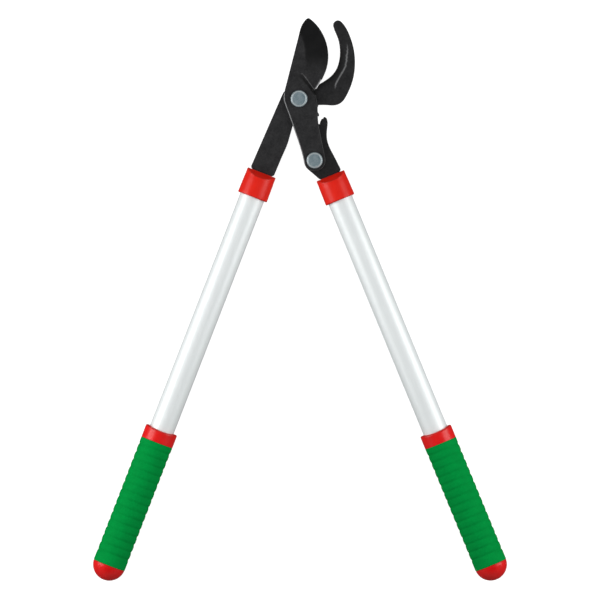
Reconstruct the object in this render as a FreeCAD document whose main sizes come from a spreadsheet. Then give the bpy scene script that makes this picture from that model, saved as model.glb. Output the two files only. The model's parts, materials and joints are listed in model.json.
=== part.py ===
import FreeCAD, Part
import math
import os

import Sketcher

# Bypass loppers with a geared, compound-action head, lying on their back on a bench.
#
# Frame: the origin is on the axis of the main pivot, at the bench. +Z points up out of the bench,
# +Y towards the blade tip and +X towards the hook. All sizes are in millimetres and degrees.
#
# How it works: the hook and the left tang are one plate, with a fixed gear sector (the sun) round the
# main pivot. The blade and its long arm turn on the main pivot. The right tang turns on the lower
# pivot at the arm's far end, and its own gear sector (the planet) rolls round the sun.

SIZES = {
    # layers, from the bench upwards
    "tang_middle": 19.5,
    "plate_thick": 6.0,
    "arm_thick": 5.0,
    "blade_thick": 4.2,
    "sliding_gap": 0.2,
    "washer_thick": 2.0,
    "washer_bevel": 0.3,
    "hollow_depth": 0.5,
    "edge_break": 0.6,
    "arm_edge": 1.0,
    "bevel_depth": 3.4,
    "bevel_width": 7.0,
    # plate outlines
    "boss_radius": 18.4,
    "foot_angle": -17.3,
    "cheek_radius": 12.0,
    "arm_end_radius": 12.7,
    # gear pair and pivots
    "gear_module": 3.0,
    "sun_teeth": 18,
    "planet_teeth": 32,
    "sector_teeth": 4,
    "pressure_angle": 20.0,
    "backlash": 0.3,
    "profile_shift": 0.9,
    "tooth_sunk": 1.0,
    "sector_margin": 4.4,
    "sun_first": -40.5,
    "planet_first": 78.71875,
    "lower_x": 18.4,
    "lower_y": -72.7,
    "main_bolt": 6.0,
    "main_head": 9.9,
    "main_nut_flats": 19.0,
    "main_nut_height": 14.0,
    "main_washer": 12.0,
    "lower_bolt": 5.0,
    "lower_head": 9.6,
    "lower_nut_flats": 17.0,
    "lower_nut_height": 11.5,
    "lower_washer": 10.5,
    "head_height": 3.8,
    "head_bevel": 1.6,
    "dish_margin": 2.4,
    "dish_depth": 0.3,
    "bush_wall": 1.5,
    "overlap": 0.1,
    "collar_inset": 0.4,
    "collar_bevel": 1.4,
    "collar_sunk": 0.5,
    "running_fit": 0.05,
    "snug_fit": 0.02,
    "neck_clearance": 0.1,
    "shank_end": 2.0,
    "end_bevel": 1.0,
    # where each handle starts (the top of its ferrule) and how far it leans from straight down
    "left_x": -43.9,
    "left_y": -87.0,
    "left_lean": -21.26,
    "right_x": 36.9,
    "right_y": -90.6,
    "right_lean": 22.42,
    # tang inside the handle
    "tang_half": 14.7,
    "slim_half": 12.9,
    "shoulder_radius": 3.4,
    "tail_half": 9.6,
    "tail_length": 56.0,
    "core_length": 62.0,
    "pin_radius": 2.5,
    "pin_place": 18.0,
    "pin_short": 0.3,
    "slot_fit": 0.1,
    "core_fit": 0.05,
    "butt_gap": 0.05,
    # handle, measured from the top of the ferrule
    "ferrule_length": 31.0,
    "ferrule_top": 17.7,
    "ferrule_bottom": 18.2,
    "ferrule_top_bevel": 1.0,
    "ferrule_low_bevel": 1.2,
    "ferrule_slope_start": 5.0,
    "ferrule_slope_depth": 6.5,
    "tube_start": 8.5,
    "tube_radius": 15.0,
    "tube_wall": 1.5,
    "tube_end": 494.0,
    "collar_start": 325.4,
    "sleeve_start": 341.5,
    "sleeve_end": 497.0,
    "grip_end": 515.5,
    "grip_radius": 19.5,
    "core_radius": 16.8,
    "dome_step": 0.2,
    "plug_length": 20.0,
    "collar_slope_start": 6.0,
    "collar_slope_depth": 2.4,
    "lip_inset": 2.0,
    "lip_depth": 2.2,
    "ripple_count": 15,
    "ripple_pitch": 9.52,
    "ripple_first": 8.5,
    "ripple_half": 3.0,
    "ripple_floor": 0.8,
    "ripple_depth": 0.9,
}

doc = FreeCAD.newDocument("loppers")
sheet = doc.addObject("Spreadsheet::Sheet", "Sheet")
for row, (alias, size) in enumerate(SIZES.items(), start=1):
    sheet.set(f"A{row}", alias)
    sheet.set(f"B{row}", str(size))
    sheet.setAlias(f"B{row}", alias)
doc.recompute()

subparts = []


def value(expression):
    """The number that an expression on the sheet stands for, such as 'tube_radius - tube_wall'."""
    return float(sheet.evalExpression(expression))


def bound(expression):
    """The same expression as another object writes it, with Sheet. before each alias."""
    words = expression.replace("(", " ( ").replace(")", " ) ").split()
    return " ".join("Sheet." + word if word in SIZES else word for word in words)


# ---------------------------------------------------------------- sketches and bodies

def new_body(label, height="0", placement=None):
    """A sub-part's body, lifted to its layer or put in its place on a handle."""
    body = doc.addObject("PartDesign::Body", label)
    body.Label = label
    if placement is not None:
        body.Placement = placement
    else:
        body.setExpression("Placement.Base.z", bound(height))
    subparts.append(body)
    return body


def origin_feature(body, role):
    return next(item for item in body.Origin.OriginFeatures if item.Role == role)


def new_sketch(body, name, role="XY_Plane"):
    sketch = body.newObject("Sketcher::SketchObject", name)
    sketch.AttachmentSupport = [(origin_feature(body, role), "")]
    sketch.MapMode = "FlatFace"
    return sketch


def bind_point(sketch, edge, end, x, y):
    """Hold one end of a sketch edge at a place given by two expressions."""
    for kind, axis, expression in (("DistanceX", -2, x), ("DistanceY", -1, y)):
        if expression == "0":
            sketch.addConstraint(Sketcher.Constraint("PointOnObject", edge, end, axis))
            continue
        index = sketch.addConstraint(Sketcher.Constraint(kind, -1, 1, edge, end, value(expression)))
        sketch.setExpression(f"Constraints[{index}]", bound(expression))


def bound_polygon(sketch, corners):
    """A closed polygon whose corners are pairs of expressions."""
    points = [FreeCAD.Vector(value(x), value(y), 0) for x, y in corners]
    count = len(points)
    for index in range(count):
        sketch.addGeometry(Part.LineSegment(points[index], points[(index + 1) % count]))
    for index, (x, y) in enumerate(corners):
        sketch.addConstraint(Sketcher.Constraint("Coincident", index, 2, (index + 1) % count, 1))
        bind_point(sketch, index, 1, x, y)


def bound_circle(sketch, radius, x="0", y="0"):
    centre = FreeCAD.Vector(value(x), value(y), 0)
    sketch.addGeometry(Part.Circle(centre, FreeCAD.Vector(0, 0, 1), value(radius)))
    bind_point(sketch, 0, 3, x, y)
    index = sketch.addConstraint(Sketcher.Constraint("Radius", 0, value(radius)))
    sketch.setExpression(f"Constraints[{index}]", bound(radius))


def pad(body, sketch, name, length):
    feature = body.newObject("PartDesign::Pad", name)
    feature.Profile = sketch
    feature.setExpression("Length", bound(length))
    return feature


def pocket(body, sketch, name, length, flip=False):
    feature = body.newObject("PartDesign::Pocket", name)
    feature.Profile = sketch
    feature.Reversed = flip
    feature.setExpression("Length", bound(length))
    return feature


def revolve(body, sketch, name, kind="PartDesign::Revolution"):
    feature = body.newObject(kind, name)
    feature.Profile = sketch
    feature.ReferenceAxis = (sketch, ["V_Axis"])
    feature.Angle = 360
    return feature


def turned(body, corners):
    """A solid of revolution about the body's Z axis; corners are (radius, height) expressions."""
    sketch = new_sketch(body, "Profile", "XZ_Plane")
    bound_polygon(sketch, corners)
    return revolve(body, sketch, "Turned")


def rim_edges(shape, height, wanted):
    """Names of the edges that lie flat at one height and whose middle passes a test."""
    names = []
    for index, edge in enumerate(shape.Edges, start=1):
        box = edge.BoundBox
        flat = abs(box.ZMin - height) < 1e-6 and abs(box.ZMax - height) < 1e-6
        if flat and wanted(edge.valueAt((edge.FirstParameter + edge.LastParameter) / 2)):
            names.append(f"Edge{index}")
    return names


def break_edges(body, name, height, size, wanted=lambda middle: True):
    """Chamfer the rims that lie at one height above the underside of a plate."""
    doc.recompute()
    base = body.Tip
    chamfer = body.newObject("PartDesign::Chamfer", name)
    chamfer.Base = (base, rim_edges(base.Shape, value(height), wanted))
    chamfer.setExpression("Size", bound(size))
    doc.recompute()
    return chamfer


# ---------------------------------------------------------------- outlines

def point(x, y):
    return FreeCAD.Vector(x, y, 0)


def polar(radius, degrees, centre=FreeCAD.Vector(0, 0, 0)):
    angle = math.radians(degrees)
    return centre + point(radius * math.cos(angle), radius * math.sin(angle))


class Outline:
    """Draws a chain of lines, arcs and smooth curves into a sketch, each from where the last ended."""

    def __init__(self, sketch, start):
        self.sketch = sketch
        self.start = start
        self.place = start
        self.heading = None

    def line(self, *places):
        for place in places:
            self.sketch.addGeometry(Part.LineSegment(self.place, place))
            self.heading = (place - self.place).normalize()
            self.place = place
        return self

    def corner(self, place, radius, beyond):
        """Run towards a corner and round it, to head for the place beyond."""
        back = (self.place - place).normalize()
        ahead = (beyond - place).normalize()
        half = back.getAngle(ahead) / 2
        reach = radius / math.tan(half)
        bisector = (back + ahead).normalize()
        nearest = place + bisector * (radius / math.sin(half) - radius)
        self.line(place + back * reach)
        self.sketch.addGeometry(Part.Arc(self.place, nearest, place + ahead * reach))
        self.place = place + ahead * reach
        self.heading = ahead
        return self

    def round(self, radius, start, end, centre=FreeCAD.Vector(0, 0, 0)):
        """An arc about a centre, from one direction to another."""
        places = [polar(radius, angle, centre) for angle in (start, (start + end) / 2, end)]
        self.sketch.addGeometry(Part.Arc(*places))
        self.place = places[-1]
        way = 90 if end > start else -90
        self.heading = polar(1, end + way)
        return self

    def curve(self, places, smooth=False):
        """One smooth curve through the places; smooth carries on from the last edge's heading."""
        curve = Part.BSplineCurve()
        places = [self.place] + places
        if smooth:
            none = point(0, 0)
            later = len(places) - 1
            curve.interpolate(Points=places, Tangents=[self.heading] + [none] * later,
                              TangentFlags=[True] + [False] * later)
        else:
            curve.interpolate(Points=places)
        self.sketch.addGeometry(curve)
        self.place = places[-1]
        self.heading = None
        return self

    def close(self):
        return self.line(self.start)


def on_handle(side, along, across):
    """A place in the tang's plane, measured along and across a handle from its ferrule's top."""
    lean = math.radians(value(side + "_lean"))
    down = point(math.sin(lean), -math.cos(lean))
    right = point(math.cos(lean), math.sin(lean))
    root = point(value(side + "_x"), value(side + "_y"))
    return root + down * along + right * across


def add_tail(outline, side, shift, left_half, left_from):
    """Left shoulder, tail inside the handle and right shoulder of a tang."""
    half = value("tang_half")
    tail = value("tail_half")
    length = value("tail_length")
    radius = value("shoulder_radius")
    spots = [(0, -left_half), (0, -tail), (length, -tail), (length, tail), (0, tail), (0, half)]
    corners = [on_handle(side, along, across) - shift for along, across in spots]
    outline.corner(corners[0], radius, corners[1])
    outline.line(*corners[1:5])
    outline.corner(corners[5], radius, left_from)


# ---------------------------------------------------------------- gears

def involute(radius, base):
    return math.sqrt((radius / base) ** 2 - 1) - math.acos(base / radius)


def tooth_sketch(body, teeth, direction, shift):
    """One involute tooth, pointing along a direction, with its foot inside the root circle.

    A profile shift moves the tooth outwards on its gear and makes it thicker."""
    module = value("gear_module")
    pressure = math.radians(value("pressure_angle"))
    pitch = module * teeth / 2
    base = pitch * math.cos(pressure)
    tip = pitch + module + shift
    root = pitch - 1.25 * module + shift
    thickness = math.pi * module / 2 - value("backlash / 2") + 2 * shift * math.tan(pressure)
    half_at_pitch = thickness / (2 * pitch) + involute(pitch, base)

    start = max(base, root)
    radii = [start + (tip - start) * step / 4 for step in range(5)]
    flank = [(radius, math.degrees(half_at_pitch - involute(radius, base))) for radius in radii]
    foot_radius = root - value("tooth_sunk")
    half_foot = flank[0][1]

    left = [polar(radius, direction + half) for radius, half in flank]
    right = [polar(radius, direction - half) for radius, half in flank]
    sketch = new_sketch(body, "Tooth")
    outline = Outline(sketch, polar(foot_radius, direction + half_foot)).line(left[0]).curve(left[1:])
    outline.round(tip, direction + flank[-1][1], direction - flank[-1][1])
    outline.curve(right[-2::-1]).line(polar(foot_radius, direction - half_foot)).close()
    return sketch


def add_sector(body, teeth_alias, first_alias, way, shift):
    """The gear sector's teeth: one padded tooth repeated round the pivot."""
    teeth = value(teeth_alias)
    first = pad(body, tooth_sketch(body, teeth, value(first_alias), shift), "FirstTooth", "plate_thick")
    doc.recompute()
    pattern = body.newObject("PartDesign::PolarPattern", "Sector")
    pattern.Originals = [first]
    pattern.Axis = (origin_feature(body, "Z_Axis"), [""])
    pattern.Reversed = way < 0
    pattern.setExpression("Angle", f"360 * (Sheet.sector_teeth - 1) / Sheet.{teeth_alias}")
    pattern.setExpression("Occurrences", "Sheet.sector_teeth")
    body.Tip = pattern
    doc.recompute()
    return pattern


def root_radius(teeth_alias, shift):
    return value(f"gear_module * {teeth_alias} / 2 - 1.25 * gear_module") + shift


# ---------------------------------------------------------------- the three plates

def build_hook_jaw():
    """Hook, sun sector and left tang in one plate, with a hollow ground along the hook."""
    body = new_body("hook_jaw", "tang_middle - plate_thick / 2")
    shift = value("profile_shift")
    root = root_radius("sun_teeth", shift)
    last_tooth = value("sun_first") - (value("sector_teeth") - 1) * 360 / value("sun_teeth")
    boss = value("boss_radius")
    foot = polar(root, value("foot_angle"))
    bend = point(-13.0, -51.6)
    outline = Outline(new_sketch(body, "Outline"), foot).line(point(30.0, foot.y))
    outline.curve([point(36.0, -7.6), point(41.5, -7.6), point(46.5, -6.4), point(51.3, -3.1),
                   point(54.9, 1.7), point(57.4, 6.4), point(59.4, 10.6), point(63.1, 20.5),
                   point(66.1, 40.0), point(64.4, 60.0), point(59.1, 76.6), point(52.1, 88.7),
                   point(46.2, 92.7), point(40.7, 89.2), point(41.1, 83.2), point(45.9, 71.3),
                   point(48.3, 56.5), point(46.9, 43.0), point(42.4, 32.2), point(35.6, 24.9),
                   point(27.8, 19.6), polar(boss, 36)],
                  smooth=True)
    outline.round(boss, 36, 152).line(point(-18.0, 8.3), point(-20.7, 2.8))
    add_tail(outline, "left", point(0, 0), value("tang_half"), bend)
    outline.line(bend, point(-7.0, -30.5), polar(root, last_tooth))
    outline.round(root, last_tooth, value("foot_angle"))
    pad(body, outline.sketch, "Plate", "plate_thick")
    for name, height in (("TopEdges", "plate_thick"), ("BottomEdges", "0")):
        # the root circle's own arc keeps its edge
        break_edges(body, name, height, "edge_break", lambda middle: middle.Length > 1.05 * root)

    ridge_top = point(51.0, 79.0)
    ridge_low = point(41.5, 7.0)
    hollow = new_sketch(body, "Hollow")
    hollow.setExpression("AttachmentOffset.Base.z", bound("plate_thick"))
    outline = Outline(hollow, ridge_top)
    outline.curve([point(57.2, 59.4), point(56.9, 50.6), point(54.5, 38.0), point(49.2, 28.3),
                   point(44.0, 18.0), ridge_low])
    outline.curve([point(35.0, 14.5), point(39.0, 22.0), point(48.5, 35.9), point(52.0, 50.0),
                   point(51.0, 66.0), ridge_top])
    pocket(body, hollow, "HollowGrind", "hollow_depth")
    doc.recompute()

    add_sector(body, "sun_teeth", "sun_first", -1, shift)
    pivot_hole(body, "main_bolt + running_fit + bush_wall + snug_fit")
    tail_hole(body, "left", point(0, 0))


def pivot_hole(body, radius):
    sketch = new_sketch(body, "PivotCircle")
    bound_circle(sketch, radius)
    return pocket(body, sketch, "PivotHole", "plate_thick", flip=True)


def tail_hole(body, side, shift):
    """The hole that the tang pin passes through."""
    place = on_handle(side, value("pin_place"), 0) - shift
    sketch = new_sketch(body, "PinCircle")
    sketch.addGeometry(Part.Circle(place, FreeCAD.Vector(0, 0, 1), value("pin_radius + snug_fit")))
    return pocket(body, sketch, "PinHole", "plate_thick", flip=True)


def build_gear_tang():
    """Right tang with the planet sector; its own origin is the lower pivot's axis."""
    body = new_body("gear_tang", "tang_middle - plate_thick / 2")
    body.setExpression("Placement.Base.x", bound("lower_x"))
    body.setExpression("Placement.Base.y", bound("lower_y"))
    shift = point(value("lower_x"), value("lower_y"))
    root = root_radius("planet_teeth", -value("profile_shift"))
    spur = value("planet_first")
    sector_end = spur + value("( sector_teeth - 1 ) * 360 / planet_teeth + sector_margin")
    spur_tip = polar(root + value("2.2 * gear_module"), spur)
    cheek = point(-11.2, -7.6)
    left_half = value("slim_half")
    right_side = point(24.0, 2.8)
    outline = Outline(new_sketch(body, "Outline"), polar(root, spur))
    outline.round(root, spur, sector_end)
    left_shoulder = on_handle("right", 0, -left_half) - shift
    outline.corner(cheek, value("cheek_radius"), left_shoulder)
    add_tail(outline, "right", shift, left_half, right_side)
    outline.curve([point(23.0, 5.3), point(18.0, 14.9), point(15.0, 24.0), point(14.5, 33.0),
                   point(15.3, 41.3), point(15.1, 47.4), point(13.2, 50.8), point(10.9, 51.2)],
                  smooth=True)
    outline.line(spur_tip).close()
    pad(body, outline.sketch, "Plate", "plate_thick")
    break_edges(body, "TopEdges", "plate_thick", "edge_break")
    break_edges(body, "BottomEdges", "0", "edge_break")
    add_sector(body, "planet_teeth", "planet_first", 1, -value("profile_shift"))
    pivot_hole(body, "lower_bolt + running_fit + bush_wall + snug_fit")
    tail_hole(body, "right", shift)


def build_blade():
    """Blade and carrier arm, forged in one piece, with square holes for the two bolts' necks."""
    body = new_body("blade", "tang_middle + plate_thick / 2 + sliding_gap")
    lower = point(value("lower_x"), value("lower_y"))
    end_radius = value("arm_end_radius")
    arm_corner = point(18.3, 9.9)
    touch = 196
    outline = Outline(new_sketch(body, "Outline"), arm_corner).line(point(20.9, 12.4))
    outline.curve([point(27.1, 22.6), point(32.7, 35.9), point(34.7, 50.0), point(32.9, 64.2),
                   point(27.1, 78.4), point(18.3, 90.0), point(12.4, 95.0)])
    outline.curve([point(10.2, 95.0), point(6.8, 92.2), point(2.6, 85.2), point(-0.4, 74.2)])
    outline.line(point(-17.0, 9.3))
    outline.curve([point(-18.0, 4.4), point(-18.0, -1.2), point(-16.3, -7.0), point(-12.9, -16.0),
                   point(-7.8, -30.2), point(-2.8, -44.4), point(1.9, -58.5),
                   polar(end_radius, touch, lower)], smooth=True)
    outline.round(end_radius, touch, 370, lower)
    outline.curve([point(24.4, -38.0), point(22.3, -23.0), point(22.0, -8.5), arm_corner], smooth=True)
    pad(body, outline.sketch, "Plate", "arm_thick")
    break_edges(body, "ArmEdges", "arm_thick", "arm_edge", lambda middle: middle.y < 4)
    # the ground blade is thinner than the arm, down to a slanting shoulder
    relief = new_sketch(body, "Relief")
    relief.setExpression("AttachmentOffset.Base.z", bound("arm_thick"))
    Outline(relief, point(-30, 36)).line(point(-10.6, 31.7), point(4.7, 28.2), point(18.7, 9.4),
                                         point(60, 9.4), point(60, 110), point(-30, 110)).close()
    doc.recompute()
    pocket(body, relief, "BladeRelief", "arm_thick - blade_thick")
    bevel = break_edges(body, "CuttingBevel", "blade_thick", "bevel_depth",
                        lambda middle: middle.x > 28)
    bevel.ChamferType = "Two distances"
    bevel.setExpression("Size2", bound("bevel_width"))
    square_hole(body, "Main", "main_bolt", "0", "0")
    square_hole(body, "Lower", "lower_bolt", "lower_x", "lower_y")
    doc.recompute()


def square_hole(body, name, bolt, x, y):
    """The square hole in the arm that keeps a bolt's neck from turning."""
    square = new_sketch(body, name + "Square")
    square_outline(square, f"( {bolt} + neck_clearance )", x, y)
    pocket(body, square, name + "Neck", "arm_thick", flip=True)


def square_outline(sketch, half, x="0", y="0", half_high=None):
    """A bound rectangle about a centre."""
    half_high = half_high or half
    corners = ((1, 1), (-1, 1), (-1, -1), (1, -1))
    bound_polygon(sketch, [(f"{x} + {i} * {half}", f"{y} + {j} * {half_high}") for i, j in corners])


# ---------------------------------------------------------------- pivots

def build_bolt(label, bolt, head, end, x, y):
    """Round-headed bolt: dished and bevelled head, square neck in the arm, plain shank down to its end."""
    body = new_body(label)
    body.setExpression("Placement.Base.x", bound(x))
    body.setExpression("Placement.Base.y", bound(y))
    seat = "tang_middle + plate_thick / 2 + sliding_gap + arm_thick"
    top = f"{seat} + head_height"
    turned(body, [
        ("0", end),
        (f"{bolt} - end_bevel", end),
        (bolt, f"{end} + end_bevel"),
        (bolt, seat),
        (head, seat),
        (head, f"{top} - head_bevel"),
        (f"{head} - head_bevel", top),
        (f"{head} - dish_margin", top),
        (f"{head} - dish_margin - dish_depth", f"{top} - dish_depth"),
        ("0", f"{top} - dish_depth"),
    ])
    doc.recompute()
    neck = new_sketch(body, "Neck")
    neck.setExpression("AttachmentOffset.Base.z", bound(f"{seat} - arm_thick"))
    square_outline(neck, bolt)
    pad(body, neck, "SquareNeck", "arm_thick + overlap")
    doc.recompute()


def build_bush(label, bolt, x, y):
    """Plain bearing pressed into the plate that turns on the bolt."""
    body = new_body(label, "tang_middle - plate_thick / 2")
    body.setExpression("Placement.Base.x", bound(x))
    body.setExpression("Placement.Base.y", bound(y))
    turned(body, [
        (f"{bolt} + running_fit", "0"),
        (f"{bolt} + running_fit + bush_wall", "0"),
        (f"{bolt} + running_fit + bush_wall", "plate_thick"),
        (f"{bolt} + running_fit", "plate_thick"),
    ])


def build_washer(label, bolt, radius, x, y):
    body = new_body(label, "tang_middle - plate_thick / 2 - sliding_gap - washer_thick")
    body.setExpression("Placement.Base.x", bound(x))
    body.setExpression("Placement.Base.y", bound(y))
    turned(body, [
        (f"{bolt} + snug_fit", "0"),
        (f"{radius} - washer_bevel", "0"),
        (radius, "washer_bevel"),
        (radius, "washer_thick"),
        (f"{bolt} + snug_fit", "washer_thick"),
    ])


def build_nut(label, bolt, flats, height, x, y):
    """Tall lock nut: a hexagon for two thirds of its height, then the collar of its locking ring."""
    body = new_body(label, f"tang_middle - plate_thick / 2 - sliding_gap - washer_thick - {height}")
    body.setExpression("Placement.Base.x", bound(x))
    body.setExpression("Placement.Base.y", bound(y))
    collar = f"{flats} / 2 - collar_inset"
    hexagon_base = f"{height} / 3"
    turned(body, [
        (f"{bolt} + snug_fit", "0"),
        (f"{collar} - collar_bevel", "0"),
        (collar, "collar_bevel"),
        (collar, f"{hexagon_base} + collar_sunk"),
        (f"{bolt} + snug_fit", f"{hexagon_base} + collar_sunk"),
    ])
    doc.recompute()
    hexagon = new_sketch(body, "Hexagon")
    hexagon.setExpression("AttachmentOffset.Base.z", bound(hexagon_base))
    corners = [polar(value(f"{flats} / sqrt(3)"), angle) for angle in range(15, 375, 60)]
    Outline(hexagon, corners[0]).line(*corners[1:]).close()
    hexagon.addGeometry(Part.Circle(point(0, 0), FreeCAD.Vector(0, 0, 1), value(f"{bolt} + snug_fit")))
    pad(body, hexagon, "HexagonPad", f"{height} * 2 / 3")
    doc.recompute()


# ---------------------------------------------------------------- handles

def handle_placement(side):
    """Z runs down the handle from the top of the ferrule, and Y points up out of the bench."""
    root = on_handle(side, 0, 0) + FreeCAD.Vector(0, 0, value("tang_middle"))
    down = on_handle(side, 1, 0) - on_handle(side, 0, 0)
    up = FreeCAD.Vector(0, 0, 1)
    return FreeCAD.Placement(root, FreeCAD.Rotation(up.cross(down), up, down, "ZXY"))


def bevel_mouth(body, top, outer, inner, depth):
    """Slope the front and back of a collar's mouth, from inner out to the collar's own radius."""
    beyond = f"( {outer} + 4 )"
    above = f"{top} - overlap"
    low = f"{top} + {depth} * ( {beyond} - {inner} ) / ( {outer} - {inner} )"
    near = f"{inner} - overlap * ( {outer} - {inner} ) / {depth}"
    for name, way in (("Front", 1), ("Back", -1)):
        slope = new_sketch(body, name + "Slope", "YZ_Plane")
        bound_polygon(slope, [
            (f"{way} * ( {near} )", above),
            (f"{way} * {beyond}", above),
            (f"{way} * {beyond}", low),
        ])
        cut = pocket(body, slope, name + "Bevel", f"2 * {beyond}")
        cut.Midplane = True


def build_ferrule(side):
    """Collar over the tube's end: slot for the tang, bevelled front and back of its top."""
    body = new_body(f"{side}_ferrule", placement=handle_placement(side))
    bore = "tube_radius + snug_fit"
    turned(body, [
        ("0", "0"),
        ("ferrule_top - ferrule_top_bevel", "0"),
        ("ferrule_top", "ferrule_top_bevel"),
        ("ferrule_bottom", "ferrule_length - ferrule_low_bevel"),
        ("ferrule_bottom - ferrule_low_bevel", "ferrule_length"),
        (bore, "ferrule_length"),
        (bore, "tube_start"),
        ("0", "tube_start"),
    ])
    doc.recompute()
    bevel_mouth(body, "0", "ferrule_top", "ferrule_slope_start", "ferrule_slope_depth")
    slot = new_sketch(body, "TangSlot")
    square_outline(slot, "( tail_half + slot_fit )", half_high="( plate_thick / 2 + slot_fit )")
    pocket(body, slot, "Slot", "tube_start + overlap", flip=True)
    doc.recompute()


def build_tube(side):
    """Drawn aluminium tube, drilled for the tang pin."""
    body = new_body(f"{side}_tube", placement=handle_placement(side))
    turned(body, [
        ("tube_radius - tube_wall", "tube_start"),
        ("tube_radius", "tube_start"),
        ("tube_radius", "tube_end"),
        ("tube_radius - tube_wall", "tube_end"),
    ])
    doc.recompute()
    drill_for_pin(body)


def drill_for_pin(body):
    sketch = new_sketch(body, "PinCircle", "XZ_Plane")
    bound_circle(sketch, "pin_radius + snug_fit", "0", "pin_place")
    cut = pocket(body, sketch, "PinHole", "2 * ferrule_bottom")
    cut.Midplane = True
    doc.recompute()


def build_tang_core(side):
    """Moulded plug that fills the tube round the tang's flat tail."""
    body = new_body(f"{side}_tang_core", placement=handle_placement(side))
    outer = "tube_radius - tube_wall - snug_fit"
    start = "tube_start + butt_gap"
    turned(body, [("0", start), (outer, start), (outer, "core_length"), ("0", "core_length")])
    doc.recompute()
    slot = new_sketch(body, "TailSlot")
    square_outline(slot, "( tail_half + core_fit )", half_high="( plate_thick / 2 + core_fit )")
    pocket(body, slot, "Slot", "tail_length + slot_fit", flip=True)
    doc.recompute()
    drill_for_pin(body)


def build_tang_pin(side):
    """Cross pin through tube, plug and tang, hidden by the ferrule."""
    pin = doc.addObject("Part::Cylinder", f"{side}_tang_pin")
    pin.Label = f"{side}_tang_pin"
    pin.setExpression("Radius", bound("pin_radius"))
    pin.setExpression("Height", bound("2 * ( tube_radius - pin_short )"))
    low = FreeCAD.Vector(0, 0, value("tang_middle - tube_radius + pin_short"))
    pin.Placement = FreeCAD.Placement(on_handle(side, value("pin_place"), 0) + low, FreeCAD.Rotation())
    subparts.append(pin)


def build_grip_core(side):
    """Hard part of the grip: collar with a rounded lip, and the barrel under the soft sleeve."""
    body = new_body(f"{side}_grip_core", placement=handle_placement(side))
    bore = "tube_radius + snug_fit"
    turned(body, [
        (bore, "collar_start"),
        ("grip_radius - lip_inset", "collar_start"),
        ("grip_radius - 0.3 * lip_inset", "collar_start + 0.3 * lip_depth"),
        ("grip_radius", "collar_start + lip_depth"),
        ("grip_radius", "sleeve_start - butt_gap"),
        ("core_radius", "sleeve_start - butt_gap"),
        ("core_radius", "sleeve_end - butt_gap"),
        (bore, "sleeve_end - butt_gap"),
    ])
    doc.recompute()
    bevel_mouth(body, "collar_start", "grip_radius", "collar_slope_start", "collar_slope_depth")
    doc.recompute()


def build_grip_sleeve(side):
    """Soft rippled sleeve: a plain tube with ring grooves at an even pitch."""
    body = new_body(f"{side}_grip_sleeve", placement=handle_placement(side))
    bore = "core_radius + snug_fit"
    turned(body, [
        (bore, "sleeve_start"),
        ("grip_radius", "sleeve_start"),
        ("grip_radius", "sleeve_end - butt_gap"),
        (bore, "sleeve_end - butt_gap"),
    ])
    doc.recompute()
    ripple = new_sketch(body, "RippleProfile", "XZ_Plane")
    middle = "sleeve_start + ripple_first"
    bound_polygon(ripple, [
        ("grip_radius + ripple_depth / 2", f"{middle} - ripple_half"),
        ("grip_radius - ripple_depth", f"{middle} - ripple_floor"),
        ("grip_radius - ripple_depth", f"{middle} + ripple_floor"),
        ("grip_radius + ripple_depth / 2", f"{middle} + ripple_half"),
    ])
    groove = revolve(body, ripple, "Ripple", "PartDesign::Groove")
    doc.recompute()
    pattern = body.newObject("PartDesign::LinearPattern", "Ripples")
    pattern.Originals = [groove]
    pattern.Direction = (origin_feature(body, "Z_Axis"), [""])
    pattern.setExpression("Length", bound("ripple_pitch * ( ripple_count - 1 )"))
    pattern.setExpression("Occurrences", bound("ripple_count"))
    body.Tip = pattern
    doc.recompute()


def build_end_cap(side):
    """Domed cap plugged into the tube's open end."""
    body = new_body(f"{side}_end_cap", placement=handle_placement(side))
    dome = value("grip_radius - dome_step")
    end = value("grip_end")
    start = value("sleeve_end")
    middle = end - dome
    rim_angle = math.degrees(math.asin((start - middle) / dome))
    rim = dome * math.cos(math.radians(rim_angle))
    plug = value("tube_radius - tube_wall - snug_fit")
    plug_top = value("sleeve_end - plug_length")
    outline = Outline(new_sketch(body, "Profile", "XZ_Plane"), point(0, end))
    outline.line(point(0, plug_top), point(plug, plug_top), point(plug, start), point(rim, start))
    outline.round(dome, rim_angle, 90, point(0, middle))
    revolve(body, outline.sketch, "Dome")
    doc.recompute()


# ---------------------------------------------------------------- build, check and write

def check_document():
    """Stop if any object failed or any sub-part's shape isn't sound."""
    doc.recompute()
    for item in doc.Objects:
        if "Invalid" in item.State or "Error" in item.State:
            raise RuntimeError(f"{item.Label} failed: {item.State}")
    for subpart in subparts:
        shape = subpart.Shape
        if shape.isNull() or not shape.isValid() or not shape.Solids:
            raise RuntimeError(f"{subpart.Label} has no sound shape")


def write_parts():
    os.makedirs("parts", exist_ok=True)
    for subpart in subparts:
        subpart.Shape.exportStep(f"parts/{subpart.Label}.step")
        box = subpart.Shape.BoundBox
        corners = (box.XMin, box.XMax, box.YMin, box.YMax, box.ZMin, box.ZMax)
        print(f"{subpart.Label:20s}", *(f"{corner:8.2f}" for corner in corners))


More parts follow.
